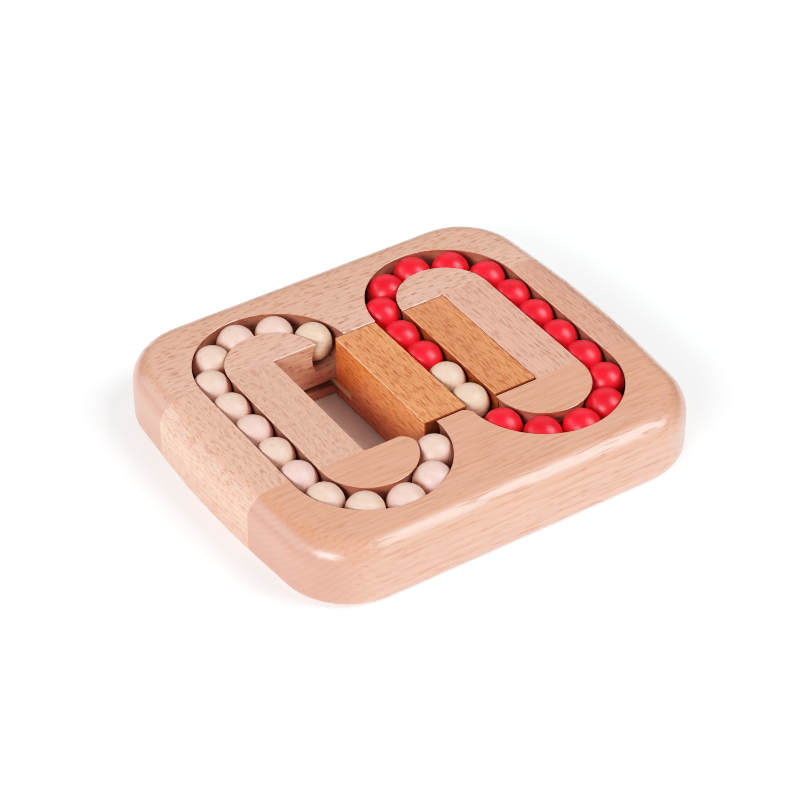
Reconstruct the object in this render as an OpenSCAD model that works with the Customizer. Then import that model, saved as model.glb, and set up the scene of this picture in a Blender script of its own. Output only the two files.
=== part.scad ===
// Bead-shifting puzzle: a glued beech frame with two looped bead tracks that share one sliding block.
// The origin is the middle of the underside. X is the block's travel, Y runs to the back and Z is up.

/* [Beads] */
// Diameter of one wooden bead
bead_diameter = 14; // [12:0.5:18]
// Play from one bead to the next, along the track
bead_gap = 0.4; // [0.3:0.05:1]
// Height of a bead above the boards
bead_rise = 1.4; // [1:0.1:2]
// Room that a row's last bead keeps to the passing slider, with the row pushed to the back
mouth_clearance = 0.3; // [0.2:0.1:1]
// How far the left row stands off that end of its play
left_row_set_back = 1.5; // [0:0.1:2]
// How far the right row stands off that end of its play
right_row_set_back = 0.3; // [0:0.1:2]
// How far the channel's row stands in front of the middle of the window
channel_row_shift = 0.4; // [0:0.1:0.6]

/* [Tracks] */
// Free length that a straight has beyond its own beads
straight_play = 2.2; // [2.2:0.1:8]
// Free length that a turn has beyond its own beads
turn_play = 1.2; // [0.6:0.1:8]
// Room between a bead and the hollow walls of its groove
wall_clearance = 0.25; // [0.2:0.05:0.6]
// Room between a bead and the floor of its groove
floor_clearance = 0.3; // [0.2:0.05:0.6]
// Room between a bead and the lips of a routed track
track_lip_clearance = 1.3; // [0.8:0.05:1.6]
// Room between a bead and the lips of the slider's channel
channel_lip_clearance = 1.7; // [1:0.05:2]
// Width of the bridges of board between the two tracks
bridge_width = 13.4; // [10:0.2:24]

/* [Frame] */
// Thickness of the four boards
board_thickness = 25; // [24:0.5:36]
// Width of the rim outside the tracks at the middle of the left and right sides
side_rim = 17.7; // [14:0.1:26]
// Width of the rim outside the tracks at the back and front
end_rim = 13.6; // [12:0.1:26]
// Radius of the frame's corners, seen from above
corner_radius = 26; // [14:0.5:36]
// Radius of the rounded upper edge
top_roundover = 9; // [3:0.5:11]
// Radius of the rounded lower edge
bottom_roundover = 4.5; // [1:0.5:8]
// How far the window lies behind the middle of the frame
window_shift = 1.7; // [0:0.1:4]
// Radius of the worn tip of the left core's front arm
arm_tip_radius = 5.5; // [1:0.5:8]
// Radius of the worn right corner of the front bridge
bridge_tip_radius = 5; // [1:0.5:6]
// Width of the eased edges along lips, window and slider
arris = 0.3; // [0.2:0.1:1]

/* [Slider] */
// Width of each of the slider's two ridges
ridge_width = 17; // [14:0.2:24]
// Radius of the slider's upright corners
slider_corner_radius = 1; // [0.5:0.1:3]
// Room between the slider's ends and the boards
end_clearance = 0.6; // [0.2:0.05:1]
// Room between the slider and the side of the window where it stops
stop_clearance = 0.15; // [0.1:0.05:0.5]
// Height of the slider above the table
slider_lift = 0.8; // [0.3:0.1:2]

/* [Tongues] */
// Thickness of the strips let into the slider's ends
tongue_thickness = 2.4; // [1.5:0.1:4]
// Height of the middle of the strips above the underside
tongue_level = 5.3; // [4:0.1:7]
// Depth of a strip's seat in the slider
tongue_seat = 10.6; // [6:0.2:16]
// Depth that a strip reaches into a board
tongue_reach = 5; // [3:0.2:8]
// Room round the strip in the board's slot
tongue_clearance = 0.2; // [0.1:0.05:0.5]
// Length of the loose splines that join the boards
spline_length = 30; // [16:1:36]

/* [Hidden] */
$fn = 128;
straight_beads = 4;
turn_beads = 5;
row_beads = straight_beads + 2 * turn_beads;
// Extra reach of a cut beyond the face that it opens
over = 1;

// A size as a drawing gives it, to a hundredth of a millimetre
function drawn(size) = round(size * 100) / 100;

// Beads, and the groove that carries them
bead_radius = bead_diameter / 2;
bead_pitch = bead_diameter + bead_gap;
bead_depth = bead_radius - bead_rise;
bead_level = board_thickness - bead_depth;
groove_depth = bead_depth + bead_radius + floor_clearance;
groove_level = board_thickness - groove_depth;
lip_radius_of_bead = drawn(sqrt(bead_radius ^ 2 - bead_depth ^ 2));
track_lip = lip_radius_of_bead + track_lip_clearance;
channel_lip = lip_radius_of_bead + channel_lip_clearance;

// Centre lines of the two tracks
straight_length = straight_beads * bead_diameter + straight_play;
turn_radius = drawn((turn_beads * bead_pitch + turn_play) / PI);
turn_y = straight_length / 2;
travel = bridge_width + 2 * track_lip;
loop_x = travel / 2 + turn_radius;

// Frame, and the window that the four boards leave open
frame_width = 2 * (loop_x + turn_radius + track_lip + side_rim);
frame_depth = 2 * (turn_y + turn_radius + track_lip + end_rim);
slider_width = 2 * (ridge_width + channel_lip);
window_half = (slider_width + travel) / 2 + stop_clearance;
window_back = window_shift + straight_length / 2;
window_front = window_shift - straight_length / 2;

// Bowed sides: an arc along each side board, and a straight run from the arc's end into the round corner
// at a tilt whose sine and cosine, of the triangle 237, 3116, 3125, are short decimals, so that every
// joint in the outline is exact
corner_y = frame_depth / 2 - corner_radius;
tilt_rise = 237;
tilt_slant = 3125;
bow_tilt = asin(tilt_rise / tilt_slant);
bow_radius = drawn(turn_y / sin(bow_tilt));
bow_x = frame_width / 2 - bow_radius;
corner_x = drawn(bow_x + (bow_radius - corner_radius - corner_y * sin(bow_tilt)) / cos(bow_tilt));
run_length = corner_y - turn_y / 2;

// Slider at rest, pushed to the right
slider_x = travel / 2;
slider_length = window_back - window_front - 2 * end_clearance;

// Slots for the slider's strips and the boards' splines
slot_height = tongue_thickness + 2 * tongue_clearance;
slot_depth = end_clearance + tongue_reach + tongue_clearance;
spline_inset = 0.5;
slot_half = window_half + spline_inset + spline_length;

// Distance along a track from the middle of its far straight to the bead nearest the back of the window
mouth_y = window_back - end_clearance + mouth_clearance + bead_radius;
mouth_angle = asin((mouth_y - turn_y) / turn_radius);
row_end = turn_y + turn_radius * (180 - mouth_angle) * PI / 180;

function two_digits(n) = n < 10 ? str("0", n) : str(n);
function row_name(side, n) = str(side < 0 ? "left" : "right", "_bead_", two_digits(n));
function channel_name(n) = str("channel_bead_", n);

// A point of the centre line round the loop's middle, with the far straight on the +X side
function path_point(s) =
    abs(s) <= turn_y
        ? [turn_radius, s]
        : let (turn = (abs(s) - turn_y) / turn_radius * 180 / PI)
          [turn_radius * cos(turn), sign(s) * (turn_y + turn_radius * sin(turn))];

// How far the centre of a groove's wall arc lies beyond the groove's middle: the arc passes through
// the lip and through the floor's edge, and clears the bead by the wall clearance
function wall_offset(lip) =
    let (half = groove_depth / 2)
    let (rise = half - bead_depth)
    let (reach = bead_radius + wall_clearance)
    let (span = half ^ 2 + lip ^ 2 - reach ^ 2 - rise ^ 2)
    let (narrow = reach ^ 2 - lip ^ 2)
    let (root = sqrt((span * lip) ^ 2 - narrow * (4 * (reach * rise) ^ 2 - span ^ 2)))
    drawn((span * lip + root) / (2 * narrow));

// Cross-section of a groove, with its mouth's middle at the origin: hollow walls, flat floor, eased lips
module groove_profile(lip) {
    offset_x = wall_offset(lip);
    wall_radius = drawn(norm([lip + offset_x, groove_depth / 2]));
    intersection() {
        translate([-offset_x, -groove_depth / 2]) circle(wall_radius);
        translate([offset_x, -groove_depth / 2]) circle(wall_radius);
        translate([-2 * bead_radius, -groove_depth]) square([4 * bead_radius, groove_depth]);
    }
    eased = lip + arris;
    polygon([[-eased, over], [-eased, 0], [-lip, -arris], [lip, -arris], [eased, 0], [eased, over]]);
}

// Both tracks, as the cutter leaves them
module tracks() {
    for (side = [-1, 1]) translate([side * loop_x, 0, board_thickness]) {
        for (turn = [0, 180]) rotate(turn) translate([0, turn_y, 0])
            rotate_extrude(angle = 180) translate([turn_radius, 0]) groove_profile(track_lip);
        for (straight = [-1, 1]) translate([straight * turn_radius, turn_y, 0]) rotate([90, 0, 0])
            linear_extrude(straight_length) groove_profile(track_lip);
    }
}

// What rounding takes off the corner of a section, with its rounded wood at -X and -Y
module rounding(radius) {
    translate([-radius, -radius]) difference() {
        square(radius + over);
        circle(radius);
    }
}

// Section across the slab, from x_from out to the rounded edge at x_to
module rim_profile(x_from, x_to) {
    difference() {
        translate([x_from, 0]) square([x_to - x_from, board_thickness]);
        translate([x_to, board_thickness]) rounding(top_roundover);
        translate([x_to, 0]) mirror([0, 1]) rounding(bottom_roundover);
    }
}

// Section right across the slab
module slab_profile(half_width) {
    rim_profile(-over, half_width);
    mirror([1, 0]) rim_profile(-over, half_width);
}

// The frame with round corners at its back (1) or front (-1), and a straight run from each along its side
module end_slab(end) {
    translate([-corner_x, 0, 0]) rotate([90, 0, 90]) linear_extrude(2 * corner_x) slab_profile(frame_depth / 2);
    for (side = [-1, 1]) translate([side * corner_x, end * corner_y, 0])
        rotate((side < 0 ? 180 : 0) + side * end * bow_tilt) {
            rotate_extrude() rim_profile(0, corner_radius);
            translate([0, side * end < 0 ? run_length : 0, 0]) rotate([90, 0, 0])
                linear_extrude(run_length) rim_profile(-corner_radius, corner_radius);
        }
}

// The frame's right (1) or left (-1) side, as a large disc with a rounded rim
module side_slab(side) {
    rotate(side < 0 ? 180 : 0) translate([bow_x, 0, 0])
        rotate_extrude($fn = 8 * $fn) rim_profile(-bow_x, bow_radius);
}

// The part of a slab inside a rectangle of the plan
module blank(x_from, x_to, y_from, y_to) {
    intersection() {
        children();
        translate([x_from, y_from, -over]) cube([x_to - x_from, y_to - y_from, board_thickness + 2 * over]);
    }
}

// What easing takes off a straight edge that runs along X, with wood below it and at +Y
module eased_edge(length) {
    rotate([90, 0, 90]) linear_extrude(length)
        polygon([[-over, -arris - over], [arris + over, over], [-over, over]]);
}

// Middle of a rounding between the window's front edge and a lip, seen from the middle of the lip's turn;
// bend is 1 where the wood lies outside the lip's circle and -1 where it lies inside
function tip_middle(radius, lip_radius, bend) =
    let (drop = window_front + turn_y - radius)
    [sqrt((lip_radius + bend * radius) ^ 2 - drop ^ 2), drop];

// What wear takes off a corner beside the window's front edge, down to the tracks' floor
module worn_tip(side, radius, lip_radius, bend) {
    middle = tip_middle(radius, lip_radius, bend);
    touch_y = middle.y * lip_radius / (lip_radius + bend * radius);
    translate([side * loop_x, -turn_y, groove_level]) linear_extrude(groove_depth + over) difference() {
        translate([-side * middle.x, touch_y])
            square([radius + over, window_front + turn_y - touch_y + over]);
        translate([-side * middle.x, middle.y]) circle(radius);
    }
}

// The slot along the window's back edge, for a strip and two splines; the front edge's is its mirror
module back_slot() {
    translate([-slot_half, 0, tongue_level - slot_height / 2])
        cube([2 * slot_half, slot_depth, slot_height]);
}

module back_board() color("#dcb48c") difference() {
    blank(-frame_width / 2, frame_width / 2, window_back, frame_depth / 2) end_slab(1);
    tracks();
    translate([0, window_back, 0]) back_slot();
    translate([-window_half, window_back, board_thickness]) eased_edge(2 * window_half);
}

module front_board() color("#dcb48c") difference() {
    blank(-frame_width / 2, frame_width / 2, -frame_depth / 2, window_front) end_slab(-1);
    tracks();
    translate([0, window_front, 0]) mirror([0, 1, 0]) back_slot();
    translate([window_half, window_front, board_thickness]) rotate(180) eased_edge(2 * window_half);
    worn_tip(-1, arm_tip_radius, turn_radius - track_lip, -1);
    worn_tip(1, bridge_tip_radius, turn_radius + track_lip, 1);
}

// A side board: its inner edge is one end of the window
module side_board(side) color("#d8ae86") difference() {
    x_inner = side * window_half;
    x_outer = side * frame_width / 2;
    blank(min(x_inner, x_outer), max(x_inner, x_outer), window_front, window_back) side_slab(side);
    tracks();
    translate([0, window_back, 0]) mirror([0, 1, 0]) spline_seat(side);
    translate([0, window_front, 0]) spline_seat(side);
    translate([x_inner, side < 0 ? window_front : window_back, board_thickness])
        rotate(side < 0 ? 90 : -90) eased_edge(straight_length);
}

module left_board() side_board(-1);
module right_board() side_board(1);

// Room for half a spline, on the +Y side of a joint between boards
module spline_seat(side) {
    translate([spline_start(side), 0, tongue_level - slot_height / 2])
        cube([spline_length, slot_depth, slot_height]);
}

// Left end of the splines on one side of the frame
function spline_start(side) = side < 0 ? -slot_half : slot_half - spline_length;

// A loose spline, glued half into a side board and half into the board behind or in front of it
module spline(side, joint_y) color("#e6cfa9")
    translate([spline_start(side), joint_y - slot_depth, tongue_level - slot_height / 2])
        cube([spline_length, 2 * slot_depth, slot_height]);

module back_left_spline() spline(-1, window_back);
module back_right_spline() spline(1, window_back);
module front_left_spline() spline(-1, window_front);
module front_right_spline() spline(1, window_front);

// An upright rectangle about X = 0, with its two upper corners eased
module eased_face(width, height) {
    flat = width / 2 - arris;
    shoulder = height - arris;
    polygon([[-width / 2, 0], [width / 2, 0], [width / 2, shoulder], [flat, height],
        [-flat, height], [-width / 2, shoulder]]);
}

// A rectangle about the origin with rounded corners
module rounded_plan(width, length, radius) {
    square([width - 2 * radius, length], center = true);
    square([width, length - 2 * radius], center = true);
    for (x = [-1, 1], y = [-1, 1])
        translate([x * (width / 2 - radius), y * (length / 2 - radius)]) circle(radius);
}

// The sliding block: two ridges with a piece of track between them
module slider() color("#c4854a") translate([slider_x, window_shift, slider_lift]) {
    height = board_thickness - slider_lift;
    difference() {
        intersection() {
            linear_extrude(height) rounded_plan(slider_width, slider_length, slider_corner_radius);
            translate([0, slider_length / 2, 0]) rotate([90, 0, 0])
                linear_extrude(slider_length) eased_face(slider_width, height);
            translate([-slider_width / 2, 0, 0]) rotate([90, 0, 90])
                linear_extrude(slider_width) eased_face(slider_length, height);
        }
        translate([0, slider_length / 2 + over, height]) rotate([90, 0, 0])
            linear_extrude(slider_length + 2 * over) groove_profile(channel_lip);
        for (side = [0, 1]) mirror([0, side, 0])
            translate([-slider_width / 2 - over, slider_length / 2 - tongue_seat, 0])
                translate([0, 0, tongue_level - tongue_thickness / 2 - slider_lift])
                    cube([slider_width + 2 * over, tongue_seat + over, tongue_thickness]);
    }
}

// A strip let into one end of the slider, running in the slot of the board beyond it
module tongue(end) color("#e6cfa9")
    translate([slider_x, window_shift, tongue_level - tongue_thickness / 2]) mirror([0, end < 0 ? 1 : 0, 0])
        translate([-slider_width / 2, slider_length / 2 - tongue_seat, 0])
            cube([slider_width, tongue_seat + tongue_reach, tongue_thickness]);

module rear_tongue() tongue(1);
module front_tongue() tongue(-1);

// A bead of the C-shaped row round one core, counted from the back of the window
module row_bead(side, n) color(side < 0 ? "#ead3b2" : "#d81f2a") {
    set_back = side < 0 ? left_row_set_back : right_row_set_back;
    place = path_point(row_end - set_back - (n - 1) * bead_pitch);
    translate([side * (loop_x + place.x), place.y, bead_level]) sphere(bead_radius);
}

// A bead in the slider's channel, counted from the back: two red beads, then two plain ones
module channel_bead(n) color(n <= straight_beads / 2 ? "#d81f2a" : "#ead3b2") {
    channel_pitch = bead_diameter + bead_gap / 2;
    y = window_shift - channel_row_shift + ((straight_beads + 1) / 2 - n) * channel_pitch;
    translate([slider_x, y, bead_level]) sphere(bead_radius);
}

back_board();
front_board();
left_board();
right_board();
back_left_spline();
back_right_spline();
front_left_spline();
front_right_spline();
slider();
rear_tongue();
front_tongue();
for (side = [-1, 1], n = [1 : row_beads]) row_bead(side, n);
for (n = [1 : straight_beads]) channel_bead(n);
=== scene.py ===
"""A beech bead-shifting puzzle: two looped tracks of wooden beads that share one sliding block."""
import math
import random

import bmesh
import bpy
from mathutils import Matrix, Vector, noise


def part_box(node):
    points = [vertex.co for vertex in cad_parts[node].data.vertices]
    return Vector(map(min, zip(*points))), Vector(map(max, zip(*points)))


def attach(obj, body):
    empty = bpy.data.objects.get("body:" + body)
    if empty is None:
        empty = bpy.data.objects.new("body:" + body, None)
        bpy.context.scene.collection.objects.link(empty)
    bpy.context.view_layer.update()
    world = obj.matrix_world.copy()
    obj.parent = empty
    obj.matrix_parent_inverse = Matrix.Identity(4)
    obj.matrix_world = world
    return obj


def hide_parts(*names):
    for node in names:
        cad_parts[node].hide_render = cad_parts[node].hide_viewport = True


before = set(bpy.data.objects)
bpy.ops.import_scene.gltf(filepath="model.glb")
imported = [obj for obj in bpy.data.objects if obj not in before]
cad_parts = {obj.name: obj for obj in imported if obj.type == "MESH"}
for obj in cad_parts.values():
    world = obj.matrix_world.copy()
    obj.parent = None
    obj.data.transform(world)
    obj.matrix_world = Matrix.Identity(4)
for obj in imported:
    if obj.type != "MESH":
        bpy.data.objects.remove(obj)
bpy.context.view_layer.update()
MM = 0.001

# Frame boards: four planed beech boards, glued round the window and then routed and rounded as one slab.
# The back and front boards run along X with the corners, and the side boards run along Y between them,
# so the grain turns at every joint. A thin satin lacquer lies over the sanded wood.


def linear(code):
    """The linear colour of an sRGB hex value."""
    parts = [int(code[i:i + 2], 16) / 255 for i in (1, 3, 5)]
    return tuple(p / 12.92 if p <= 0.04045 else ((p + 0.055) / 1.055) ** 2.4 for p in parts) + (1.0,)


def new_material(name):
    """An empty node material."""
    material = bpy.data.materials.new(name)
    material.use_nodes = True
    material.node_tree.nodes.clear()
    return material


def add(material, kind, inputs=None, **settings):
    """Adds a node with its settings; an input takes a value, or another node's output socket."""
    tree = material.node_tree
    node = tree.nodes.new(kind)
    for name, value in settings.items():
        setattr(node, name, value)
    for socket, value in (inputs or {}).items():
        if isinstance(value, bpy.types.NodeSocket):
            tree.links.new(value, node.inputs[socket])
        else:
            node.inputs[socket].default_value = value
    return node


def per_mm(*sizes):
    """Mapping scales that give a pattern of unit size these sizes in millimetres."""
    return tuple(1 / (size * MM) for size in sizes)


# A wave texture's rings lie this far apart at a scale of one
RING_PERIOD = 2 * math.pi / 20
# Length and width of the wood's fibres and of its broad bands of tone
FIBRE_MM = (4, 0.22)
BAND_MM = (90, 14)
# How far a ray and a pore show on, outwards from the pith, and the distance at which widths are given
RAY_REACH_MM = 2.5
PORE_REACH_MM = 1.2
RAY_RADIUS_MM = 70
# A pattern's cells lie this many flecks apart
FLECK_PITCH = 1.8


def lacquered_beech(
        name, along, pith_mm, tones, heart, ring_mm, rays, dashes, start_mm, gloss=0.55, end_sheen=1.0):
    """Sanded and lacquered beech: soft growth rings round the pith, fine fibres, the dark spindles that
    the wood's rays leave on sawn faces, and the pores' finer dashes between them. Rays fan out from the
    pith, so each face of a board shows its own figure, and the wood grows paler away from the heart.
    The lacquer gives a satin gloss over the grain."""
    pale, deep, dark, end_grain = (linear(tone) for tone in tones)
    material = new_material(name)
    place = add(material, "ShaderNodeTexCoord")
    # The plank's own axes: X along the grain, with the pith on it
    turn = 0.0 if along == "X" else -math.pi / 2
    plank = add(material, "ShaderNodeMapping", {
        "Vector": place.outputs["Object"], "Rotation": (0.0, 0.0, turn),
        "Location": (start_mm * MM, -pith_mm[0] * MM, -pith_mm[1] * MM)}).outputs[0]
    axes = add(material, "ShaderNodeSeparateXYZ", {0: plank})

    # Growth rings wander slowly along the board
    wander = add(material, "ShaderNodeMapping", {0: plank, "Scale": (0.12, 1.0, 1.0)}).outputs[0]
    rings = add(material, "ShaderNodeTexWave", {
        "Vector": wander, "Scale": RING_PERIOD / (ring_mm * MM), "Distortion": 7.0,
        "Detail": 2.0, "Detail Scale": 0.22, "Detail Roughness": 0.5},
        wave_type="RINGS", rings_direction="X").outputs["Fac"]
    fibre_place = add(material, "ShaderNodeMapping", {0: plank, "Scale": per_mm(*FIBRE_MM, FIBRE_MM[1])})
    fibres = add(material, "ShaderNodeTexNoise", {
        "Vector": fibre_place.outputs[0], "Scale": 1.0, "Detail": 3.0, "Roughness": 0.6}).outputs["Fac"]
    band_place = add(material, "ShaderNodeMapping", {0: plank, "Scale": per_mm(*BAND_MM, BAND_MM[1])})
    bands = add(material, "ShaderNodeTexNoise", {
        "Vector": band_place.outputs[0], "Scale": 1.0, "Detail": 3.0, "Roughness": 0.5}).outputs["Fac"]

    # The plank unrolled round its pith: along the grain, round the rings and outwards
    across = add(material, "ShaderNodeVectorMath", {0: plank, 1: (0.0, 1.0, 1.0)}, operation="MULTIPLY")
    radius = add(material, "ShaderNodeVectorMath", {0: across.outputs[0]}, operation="LENGTH")
    bearing = add(material, "ShaderNodeMath", {
        0: axes.outputs["Y"], 1: axes.outputs["Z"]}, operation="ARCTAN2").outputs[0]
    arc = add(material, "ShaderNodeMath", {
        0: bearing, 1: RAY_RADIUS_MM * MM}, operation="MULTIPLY").outputs[0]
    unrolled = add(material, "ShaderNodeCombineXYZ", {
        "X": axes.outputs["X"], "Y": arc, "Z": radius.outputs["Value"]}).outputs[0]

    # Rays: a share of the cells holds a spindle, dark in the middle
    ray_length, ray_width, ray_share, ray_depth = rays
    ray_place = add(material, "ShaderNodeMapping", {
        0: unrolled, "Scale": per_mm(ray_length * FLECK_PITCH, ray_width * FLECK_PITCH, RAY_REACH_MM)})
    cells = add(material, "ShaderNodeTexVoronoi", {
        "Vector": ray_place.outputs[0], "Scale": 1.0}, feature="F1")
    spindle = add(material, "ShaderNodeMapRange", {
        "Value": cells.outputs["Distance"], "From Min": 0.22, "From Max": 0.4, "To Min": 1.0, "To Max": 0.0},
        interpolation_type="SMOOTHSTEP").outputs[0]
    lot = add(material, "ShaderNodeSeparateColor", {0: cells.outputs["Color"]}).outputs[0]
    chosen = add(material, "ShaderNodeMath", {0: lot, 1: ray_share}, operation="LESS_THAN").outputs[0]
    spindle = add(material, "ShaderNodeMath", {0: spindle, 1: chosen}, operation="MULTIPLY").outputs[0]

    # Pores: the peaks of a drawn-out noise
    dash_length, dash_width, dash_depth = dashes
    dash_place = add(material, "ShaderNodeMapping", {
        0: unrolled, "Scale": per_mm(dash_length * FLECK_PITCH, dash_width * FLECK_PITCH, PORE_REACH_MM)})
    peaks = add(material, "ShaderNodeTexNoise", {
        "Vector": dash_place.outputs[0], "Scale": 1.0, "Detail": 1.0, "Roughness": 0.5}).outputs["Fac"]
    dash = add(material, "ShaderNodeMapRange", {
        "Value": peaks, "From Min": 0.53, "From Max": 0.68}, interpolation_type="SMOOTHSTEP").outputs[0]

    # End grain drinks more lacquer and looks deeper, and shows no spindles
    facing = add(material, "ShaderNodeSeparateXYZ", {0: place.outputs["Normal"]})
    slope = add(material, "ShaderNodeMath", {0: facing.outputs[along]}, operation="ABSOLUTE").outputs[0]
    end_on = add(material, "ShaderNodeMapRange", {
        "Value": slope, "From Min": 0.15, "From Max": 0.9}, interpolation_type="SMOOTHSTEP").outputs[0]
    side_on = add(material, "ShaderNodeMath", {0: 1.0, 1: end_on}, operation="SUBTRACT").outputs[0]
    spindle = add(material, "ShaderNodeMath", {0: spindle, 1: side_on}, operation="MULTIPLY").outputs[0]
    dash = add(material, "ShaderNodeMath", {0: dash, 1: side_on}, operation="MULTIPLY").outputs[0]

    grain = add(material, "ShaderNodeMix", {"Factor": 0.6, 2: bands, 3: fibres}).outputs[0]
    tone = add(material, "ShaderNodeMapRange", {
        "Value": grain, "From Min": 0.35, "From Max": 0.65}).outputs[0]
    colour = add(material, "ShaderNodeMix", {"Factor": tone, 6: pale, 7: deep}, data_type="RGBA").outputs[2]
    heart_tone, heart_mm, sap_mm = heart
    heartwood = add(material, "ShaderNodeMapRange", {
        "Value": radius.outputs["Value"], "From Min": heart_mm * MM, "From Max": sap_mm * MM,
        "To Min": 1.0, "To Max": 0.0}).outputs[0]
    colour = add(material, "ShaderNodeMix", {
        "Factor": heartwood, 6: colour, 7: linear(heart_tone)}, data_type="RGBA").outputs[2]
    soaked = add(material, "ShaderNodeMath", {0: end_on, 1: 0.85}, operation="MULTIPLY").outputs[0]
    colour = add(material, "ShaderNodeMix", {
        "Factor": soaked, 6: colour, 7: end_grain}, data_type="RGBA").outputs[2]
    for pattern, depth in ((rings, 0.1), (dash, dash_depth), (spindle, ray_depth)):
        share = add(material, "ShaderNodeMath", {0: pattern, 1: depth}, operation="MULTIPLY").outputs[0]
        colour = add(material, "ShaderNodeMix", {
            "Factor": share, 6: colour, 7: dark}, data_type="RGBA").outputs[2]

    roughness = add(material, "ShaderNodeMapRange", {
        "Value": fibres, "From Min": 0.3, "From Max": 0.7, "To Min": 0.32, "To Max": 0.46}).outputs[0]
    height = add(material, "ShaderNodeMath", {0: fibres, 1: dash}, operation="SUBTRACT").outputs[0]
    relief = add(material, "ShaderNodeBump", {
        "Height": height, "Strength": 0.6, "Distance": 0.05 * MM}).outputs[0]
    # The lacquer sinks into flecks, and end grain keeps only a share of its sheen
    flecks = add(material, "ShaderNodeMath", {0: spindle, 1: dash}, operation="MAXIMUM").outputs[0]
    closed = add(material, "ShaderNodeMapRange", {"Value": flecks, "To Min": 1.0, "To Max": 0.3}).outputs[0]
    filled = add(material, "ShaderNodeMapRange", {
        "Value": slope, "From Min": 0.6, "From Max": 0.7, "To Min": 1.0, "To Max": end_sheen}).outputs[0]
    sheen = add(material, "ShaderNodeMath", {0: closed, 1: filled}, operation="MULTIPLY").outputs[0]
    coat = add(material, "ShaderNodeMath", {0: sheen, 1: gloss}, operation="MULTIPLY").outputs[0]
    specular = add(material, "ShaderNodeMath", {0: sheen, 1: 0.5}, operation="MULTIPLY").outputs[0]
    shader = add(material, "ShaderNodeBsdfPrincipled", {
        "Base Color": colour, "Roughness": roughness, "Normal": relief, "IOR": 1.5,
        "Specular IOR Level": specular, "Coat Weight": coat, "Coat Roughness": 0.17, "Coat Normal": relief})
    add(material, "ShaderNodeOutputMaterial", {0: shader.outputs[0]})
    return material


def finish_node(node, material):
    """Gives a CAD node its finish."""
    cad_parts[node].material_slots[0].material = material


# Well-spaced long flecks on top
finish_node("back_board", lacquered_beech(
    "back_board_beech", "X", pith_mm=(120, -45), tones=("#dda188", "#c8927b", "#874930", "#b97c66"),
    heart=("#c98c70", 84, 110), ring_mm=1.7, rays=(2.2, 0.34, 0.4, 0.42),
    dashes=(2.6, 0.28, 0.26), start_mm=37))
# From a warmer plank: fine straight lines and few flecks
finish_node("front_board", lacquered_beech(
    "front_board_beech", "X", pith_mm=(-6, 60), tones=("#dfa58d", "#c68f7e", "#8a4f34", "#b67a66"),
    heart=("#cd8a6d", 57, 94), ring_mm=2.1, rays=(2.5, 0.3, 0.12, 0.25),
    dashes=(8.0, 0.34, 0.17), start_mm=211))
# Small crowded flecks
finish_node("left_board", lacquered_beech(
    "left_board_beech", "Y", pith_mm=(15, -40), tones=("#dea288", "#ca927c", "#8b4e33", "#c0846b"),
    heart=("#cd937a", 62, 86), ring_mm=1.5, rays=(1.8, 0.24, 0.5, 0.4),
    dashes=(1.8, 0.24, 0.26), start_mm=123))
# Longer, darker flecks
finish_node("right_board", lacquered_beech(
    "right_board_beech", "Y", pith_mm=(-100, -40), tones=("#dd9b82", "#ca9079", "#7d3f26", "#b67259"),
    heart=("#be7c62", 60, 84), ring_mm=1.4, rays=(2.6, 0.22, 0.5, 0.42),
    dashes=(3.0, 0.24, 0.3), start_mm=-71))

# Splines and tongues: thin strips of raw beech, sawn and sanded. The splines are glued into the slot
# across the board joints; the tongues are let into kerfs in the slider's ends and run in the same slot.
STRIP_FIBRE_MM = (9, 0.5)
SAW_MARK_MM = 1.1


def sawn_strip(name, pale, deep):
    """Raw sawn beech: matt, pale, with fine fibres along X and faint saw marks across them."""
    material = new_material(name)
    place = add(material, "ShaderNodeTexCoord").outputs["Object"]
    fibre_place = add(material, "ShaderNodeMapping", {
        0: place, "Scale": per_mm(*STRIP_FIBRE_MM, STRIP_FIBRE_MM[1])})
    fibres = add(material, "ShaderNodeTexNoise", {
        "Vector": fibre_place.outputs[0], "Scale": 1.0, "Detail": 3.0}).outputs["Fac"]
    marks = add(material, "ShaderNodeTexWave", {
        "Vector": place, "Scale": RING_PERIOD / (SAW_MARK_MM * MM), "Distortion": 3.0, "Detail": 1.0},
        wave_type="BANDS", bands_direction="X").outputs["Fac"]
    colour = add(material, "ShaderNodeMix", {
        "Factor": fibres, 6: linear(pale), 7: linear(deep)}, data_type="RGBA").outputs[2]
    height = add(material, "ShaderNodeMath", {0: fibres, 1: marks}, operation="ADD").outputs[0]
    relief = add(material, "ShaderNodeBump", {
        "Height": height, "Strength": 0.3, "Distance": 0.05 * MM}).outputs[0]
    roughness = add(material, "ShaderNodeMapRange", {
        "Value": fibres, "To Min": 0.6, "To Max": 0.8}).outputs[0]
    shader = add(material, "ShaderNodeBsdfPrincipled", {
        "Base Color": colour, "Roughness": roughness, "Normal": relief, "IOR": 1.5})
    add(material, "ShaderNodeOutputMaterial", {0: shader.outputs[0]})
    return material


strip_wood = sawn_strip("sawn_beech_strip", "#dcc0a6", "#c6a07f")
for strip in ("back_left_spline", "back_right_spline", "front_left_spline", "front_right_spline",
              "rear_tongue", "front_tongue"):
    finish_node(strip, strip_wood)

# Slider: one block of steamed beech, sawn along Y, with a channel routed down its middle. It is oiled,
# which turns it orange-brown beside the pale frame.
# Its end grain is painted near black. This is partly the real darkening of oil-soaked end grain, and mostly
# painted shade for the shadowed gaps at the slider's ends. That end grain keeps no sheen.
finish_node("slider", lacquered_beech(
    "slider_steamed_beech", "Y", pith_mm=(-39, -45), tones=("#eb8c4e", "#bb5f2e", "#5f240c", "#4a1c0a"),
    heart=("#c86f39", 64, 82), ring_mm=1.8, rays=(2.2, 0.22, 0.6, 0.4),
    dashes=(2.8, 0.24, 0.36), start_mm=19, gloss=1.0, end_sheen=0.0))

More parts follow.
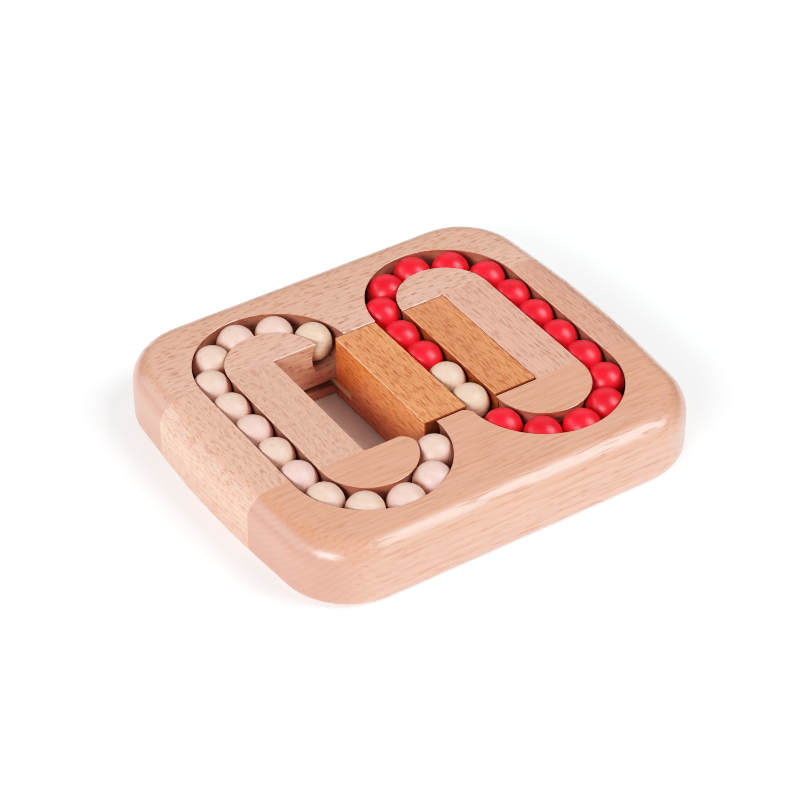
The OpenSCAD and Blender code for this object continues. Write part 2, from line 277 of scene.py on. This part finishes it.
# Beads: 14 mm balls turned from beech and tumbled smooth, without a bore. Half of them stay plain, and
# half are dipped in red lacquer. The lathe leaves a small pip at each pole, and tumbling leaves soft flats.
BEAD_RING_MM = 1.9
BEAD_FIBRE_MM = (0.5, 6)
# Size of the clouds of tone in the bare wood and in the lacquer, and of the dust on the lacquer
WOOD_CLOUD_MM = 24
LACQUER_CLOUD_MM = 9
DUST_MM = 0.35


def turned_bead_wood(name):
    """Tumbled raw beech: creamy, matt to satin, with faint rings across the poles and fibres along them.
    Each bead has its own tone, from cream to pinkish grey."""
    material = new_material(name)
    place = add(material, "ShaderNodeAttribute", attribute_name="turned").outputs["Vector"]
    wander = add(material, "ShaderNodeMapping", {0: place, "Scale": (1.0, 1.0, 0.2)}).outputs[0]
    rings = add(material, "ShaderNodeTexWave", {
        "Vector": wander, "Scale": RING_PERIOD / (BEAD_RING_MM * MM), "Distortion": 4.0,
        "Detail": 2.0, "Detail Scale": 0.4},
        wave_type="RINGS", rings_direction="Z", wave_profile="SAW").outputs["Fac"]
    fibre_place = add(material, "ShaderNodeMapping", {
        0: place, "Scale": per_mm(BEAD_FIBRE_MM[0], *BEAD_FIBRE_MM)})
    fibres = add(material, "ShaderNodeTexNoise", {
        "Vector": fibre_place.outputs[0], "Scale": 1.0, "Detail": 3.0}).outputs["Fac"]
    cloud = add(material, "ShaderNodeTexNoise", {
        "Vector": place, "Scale": 1 / (WOOD_CLOUD_MM * MM), "Detail": 2.0}).outputs["Fac"]
    tone = add(material, "ShaderNodeMapRange", {
        "Value": cloud, "From Min": 0.35, "From Max": 0.65}).outputs[0]
    colour = add(material, "ShaderNodeMix", {
        "Factor": tone, 6: linear("#e4b5aa"), 7: linear("#ddb79b")}, data_type="RGBA").outputs[2]
    pip = add(material, "ShaderNodeAttribute", attribute_name="pip").outputs["Fac"]
    for pattern, depth in ((rings, 0.1), (fibres, 0.2), (pip, 0.6)):
        share = add(material, "ShaderNodeMath", {0: pattern, 1: depth}, operation="MULTIPLY").outputs[0]
        colour = add(material, "ShaderNodeMix", {
            "Factor": share, 6: colour, 7: linear("#a66f58")}, data_type="RGBA").outputs[2]
    roughness = add(material, "ShaderNodeMapRange", {
        "Value": fibres, "To Min": 0.36, "To Max": 0.5}).outputs[0]
    relief = add(material, "ShaderNodeBump", {
        "Height": fibres, "Strength": 0.2, "Distance": 0.04 * MM}).outputs[0]
    shader = add(material, "ShaderNodeBsdfPrincipled", {
        "Base Color": colour, "Roughness": roughness, "Normal": relief, "IOR": 1.5})
    add(material, "ShaderNodeOutputMaterial", {0: shader.outputs[0]})
    return material


def red_bead_lacquer(name):
    """Red lacquer on turned wood: opaque, satin, a little thinner and darker in clouds, with fine dust."""
    material = new_material(name)
    place = add(material, "ShaderNodeAttribute", attribute_name="turned").outputs["Vector"]
    cloud = add(material, "ShaderNodeTexNoise", {
        "Vector": place, "Scale": 1 / (LACQUER_CLOUD_MM * MM), "Detail": 3.0}).outputs["Fac"]
    dust = add(material, "ShaderNodeTexNoise", {
        "Vector": place, "Scale": 1 / (DUST_MM * MM), "Detail": 2.0}).outputs["Fac"]
    tone = add(material, "ShaderNodeMapRange", {
        "Value": cloud, "From Min": 0.35, "From Max": 0.7}).outputs[0]
    colour = add(material, "ShaderNodeMix", {
        "Factor": tone, 6: linear("#f0182f"), 7: linear("#d41025")}, data_type="RGBA").outputs[2]
    roughness = add(material, "ShaderNodeMapRange", {
        "Value": dust, "To Min": 0.34, "To Max": 0.46}).outputs[0]
    relief = add(material, "ShaderNodeBump", {
        "Height": dust, "Strength": 0.12, "Distance": 0.03 * MM}).outputs[0]
    shader = add(material, "ShaderNodeBsdfPrincipled", {
        "Base Color": colour, "Roughness": roughness, "Normal": relief, "IOR": 1.5})
    add(material, "ShaderNodeOutputMaterial", {0: shader.outputs[0]})
    return material


def new_object(name, bm, material):
    """An object of a finished bmesh, in the scene."""
    mesh = bpy.data.meshes.new(name)
    bm.to_mesh(mesh)
    bm.free()
    mesh.materials.append(material)
    item = bpy.data.objects.new(name, mesh)
    bpy.context.scene.collection.objects.link(item)
    return item


def turned_bead(node, material, dice):
    """A bead in the place of a CAD ball, lying the way that it last rolled."""
    low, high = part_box(node)
    radius = (high.x - low.x) / 2
    bm = bmesh.new()
    bmesh.ops.create_uvsphere(bm, u_segments=56, v_segments=32, radius=radius)
    turned = bm.verts.layers.float_vector.new("turned")
    pip = bm.verts.layers.float.new("pip")
    pip_depth = 0.16 * MM
    flat_depth = 0.09 * MM
    flat_size = 6 * MM
    pole_reach = 0.01 * MM
    # Each bead is cut from its own spot of the plank, clear of the pith and anywhere along it
    spot = Vector((dice.uniform(8, 26), dice.uniform(-20, 20), dice.uniform(0, 400))) * MM
    for vert in bm.verts:
        vert[turned] = vert.co + spot
        wear = flat_depth * (0.5 + 0.5 * noise.noise((vert.co + spot) / flat_size))
        vert.co *= 1 - wear / radius
    poles = [v for v in bm.verts if v.co.xy.length < pole_reach]
    for pole in poles:
        pole[pip] = 1.0
        bmesh.ops.translate(bm, verts=[pole], vec=(0, 0, -math.copysign(pip_depth, pole.co.z)))
    roll = Matrix.Rotation(dice.uniform(0, math.tau), 4, "Z")
    tilt = Matrix.Rotation(math.acos(dice.uniform(-1, 1)), 4, "Y")
    spin = Matrix.Rotation(dice.uniform(0, math.tau), 4, "Z")
    bmesh.ops.transform(bm, matrix=Matrix.Translation((low + high) / 2) @ spin @ tilt @ roll, verts=bm.verts)
    for face in bm.faces:
        face.smooth = True
    bead = new_object(node + "_turned", bm, material)
    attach(bead, node)
    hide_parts(node)


ROW_BEADS = 14
plain_bead = turned_bead_wood("turned_beech_bead")
red_bead = red_bead_lacquer("red_lacquered_bead")
dice = random.Random(14)
for number in range(1, ROW_BEADS + 1):
    turned_bead(f"left_bead_{number:02d}", plain_bead, dice)
    turned_bead(f"right_bead_{number:02d}", red_bead, dice)
for number in (1, 2):
    turned_bead(f"channel_bead_{number}", red_bead, dice)
for number in (3, 4):
    turned_bead(f"channel_bead_{number}", plain_bead, dice)

# Stage: a seamless white studio table whose emission is painted light. It grows away from the puzzle,
# whitening the puzzle's cast shadows on the floor and lighting its sides from below so they come out pale.
FLOOR_SIZE = 6.0
FLOOR_DROP = 0.1 * MM
# The painted light on the floor grows away from a spot under the puzzle, from the first radius to the
# second, so the shade under and inside the puzzle stays
GLOW_SPOT = Vector((5, 25, 0)) * MM
GLOW_FROM = 30 * MM
GLOW_TO = 100 * MM
GLOW_LEAST = 0.03
GLOW_MOST = 0.16


def studio_white_painted_glow(name):
    """Matt white board with a trace of unevenness, and painted emission that is least under the puzzle and
    brightest round it, where it whitens the cast shadows.
    """
    material = new_material(name)
    place = add(material, "ShaderNodeTexCoord").outputs["Object"]
    cloud = add(material, "ShaderNodeTexNoise", {"Vector": place, "Scale": 3.0}).outputs["Fac"]
    colour = add(material, "ShaderNodeMix", {
        "Factor": cloud, 6: linear("#fbf8f5"), 7: linear("#f8f5f2")}, data_type="RGBA").outputs[2]
    away = add(material, "ShaderNodeVectorMath", {0: place, 1: GLOW_SPOT}, operation="DISTANCE")
    painted_glow = add(material, "ShaderNodeMapRange", {
        "Value": away.outputs["Value"], "From Min": GLOW_FROM, "From Max": GLOW_TO,
        "To Min": GLOW_LEAST, "To Max": GLOW_MOST}).outputs[0]
    shader = add(material, "ShaderNodeBsdfPrincipled", {
        "Base Color": colour, "Roughness": 0.9, "Emission Color": colour, "Emission Strength": painted_glow})
    add(material, "ShaderNodeOutputMaterial", {0: shader.outputs[0]})
    return material


bm = bmesh.new()
bmesh.ops.create_grid(bm, x_segments=1, y_segments=1, size=FLOOR_SIZE / 2)
bmesh.ops.translate(bm, verts=bm.verts, vec=(0, 0, -FLOOR_DROP))
new_object("studio_floor", bm, studio_white_painted_glow("white_board_painted_glow"))

# Light: a softbox at the right front and a lower one at the left, in a tent of white screens. The film
# deepens the shadows and eases off towards white.
LIGHT_DISTANCE = 2.6
COOL_WHITE = (0.9, 0.96, 1.0)
SKY = (0.85, 0.92, 1.0, 1.0)
SKY_STRENGTH = 0.05
# Points of the film's curve, light in and tone out, and the curve that takes all the colours together
FILM = ((0.05, 0.044), (0.12, 0.14), (0.3, 0.42), (0.6, 0.753), (0.85, 0.925))
ALL_COLOURS = 3


def direction(bearing, height):
    """The way from the puzzle to a light or the camera; bearing turns from the front to the right."""
    turn = math.radians(bearing)
    lift = math.radians(height)
    return Vector((math.sin(turn) * math.cos(lift), -math.cos(turn) * math.cos(lift), math.sin(lift)))


def softbox(name, bearing, height, size, power):
    """A softbox aimed at the puzzle."""
    lamp = bpy.data.lights.new(name, "AREA")
    lamp.shape = "RECTANGLE"
    lamp.size, lamp.size_y = size
    lamp.energy = power
    lamp.color = COOL_WHITE
    light = bpy.data.objects.new(name, lamp)
    bpy.context.scene.collection.objects.link(light)
    ray = direction(bearing, height)
    light.location = ray * LIGHT_DISTANCE
    light.rotation_euler = ray.to_track_quat("Z", "Y").to_euler()


softbox("right_softbox", 47, 46, (1.3, 1.9), 54)
softbox("left_softbox", -62, 27, (1.3, 0.8), 50)
softbox("left_screen", -122, 23, (3.0, 1.6), 33)
softbox("backdrop", 147, 36, (3.0, 2.0), 14)
softbox("front_lamp", 18, 20, (0.4, 0.4), 4)
world = bpy.data.worlds.new("white_studio")
bpy.context.scene.world = world
world.use_nodes = True
background = world.node_tree.nodes["Background"]
background.inputs["Color"].default_value = SKY
background.inputs["Strength"].default_value = SKY_STRENGTH
view = bpy.context.scene.view_settings
view.view_transform = "Standard"
view.use_curve_mapping = True
for light_in, shown in FILM:
    view.curve_mapping.curves[ALL_COLOURS].points.new(light_in, shown)
view.curve_mapping.update()

# Camera: a long lens from the front left, as the puzzle was photographed. A narrow pixel filter keeps
# the grain crisp.
CAMERA_BEARING = -33.357
CAMERA_HEIGHT = 38.453
CAMERA_DISTANCE = 959.1 * MM
CAMERA_AIM = Vector((-10.744, -11.532, 25.0)) * MM
LENS_MM = 127.04
SENSOR_MM = 36
FILTER_PIXELS = 1.0
camera_data = bpy.data.cameras.new("camera")
camera_data.sensor_width = SENSOR_MM
camera_data.lens = LENS_MM
bpy.context.scene.cycles.filter_width = FILTER_PIXELS
camera = bpy.data.objects.new("camera", camera_data)
bpy.context.scene.collection.objects.link(camera)
back = direction(CAMERA_BEARING, CAMERA_HEIGHT)
camera.location = CAMERA_AIM + back * CAMERA_DISTANCE
camera.rotation_euler = back.to_track_quat("Z", "Y").to_euler()
bpy.context.scene.camera = camera
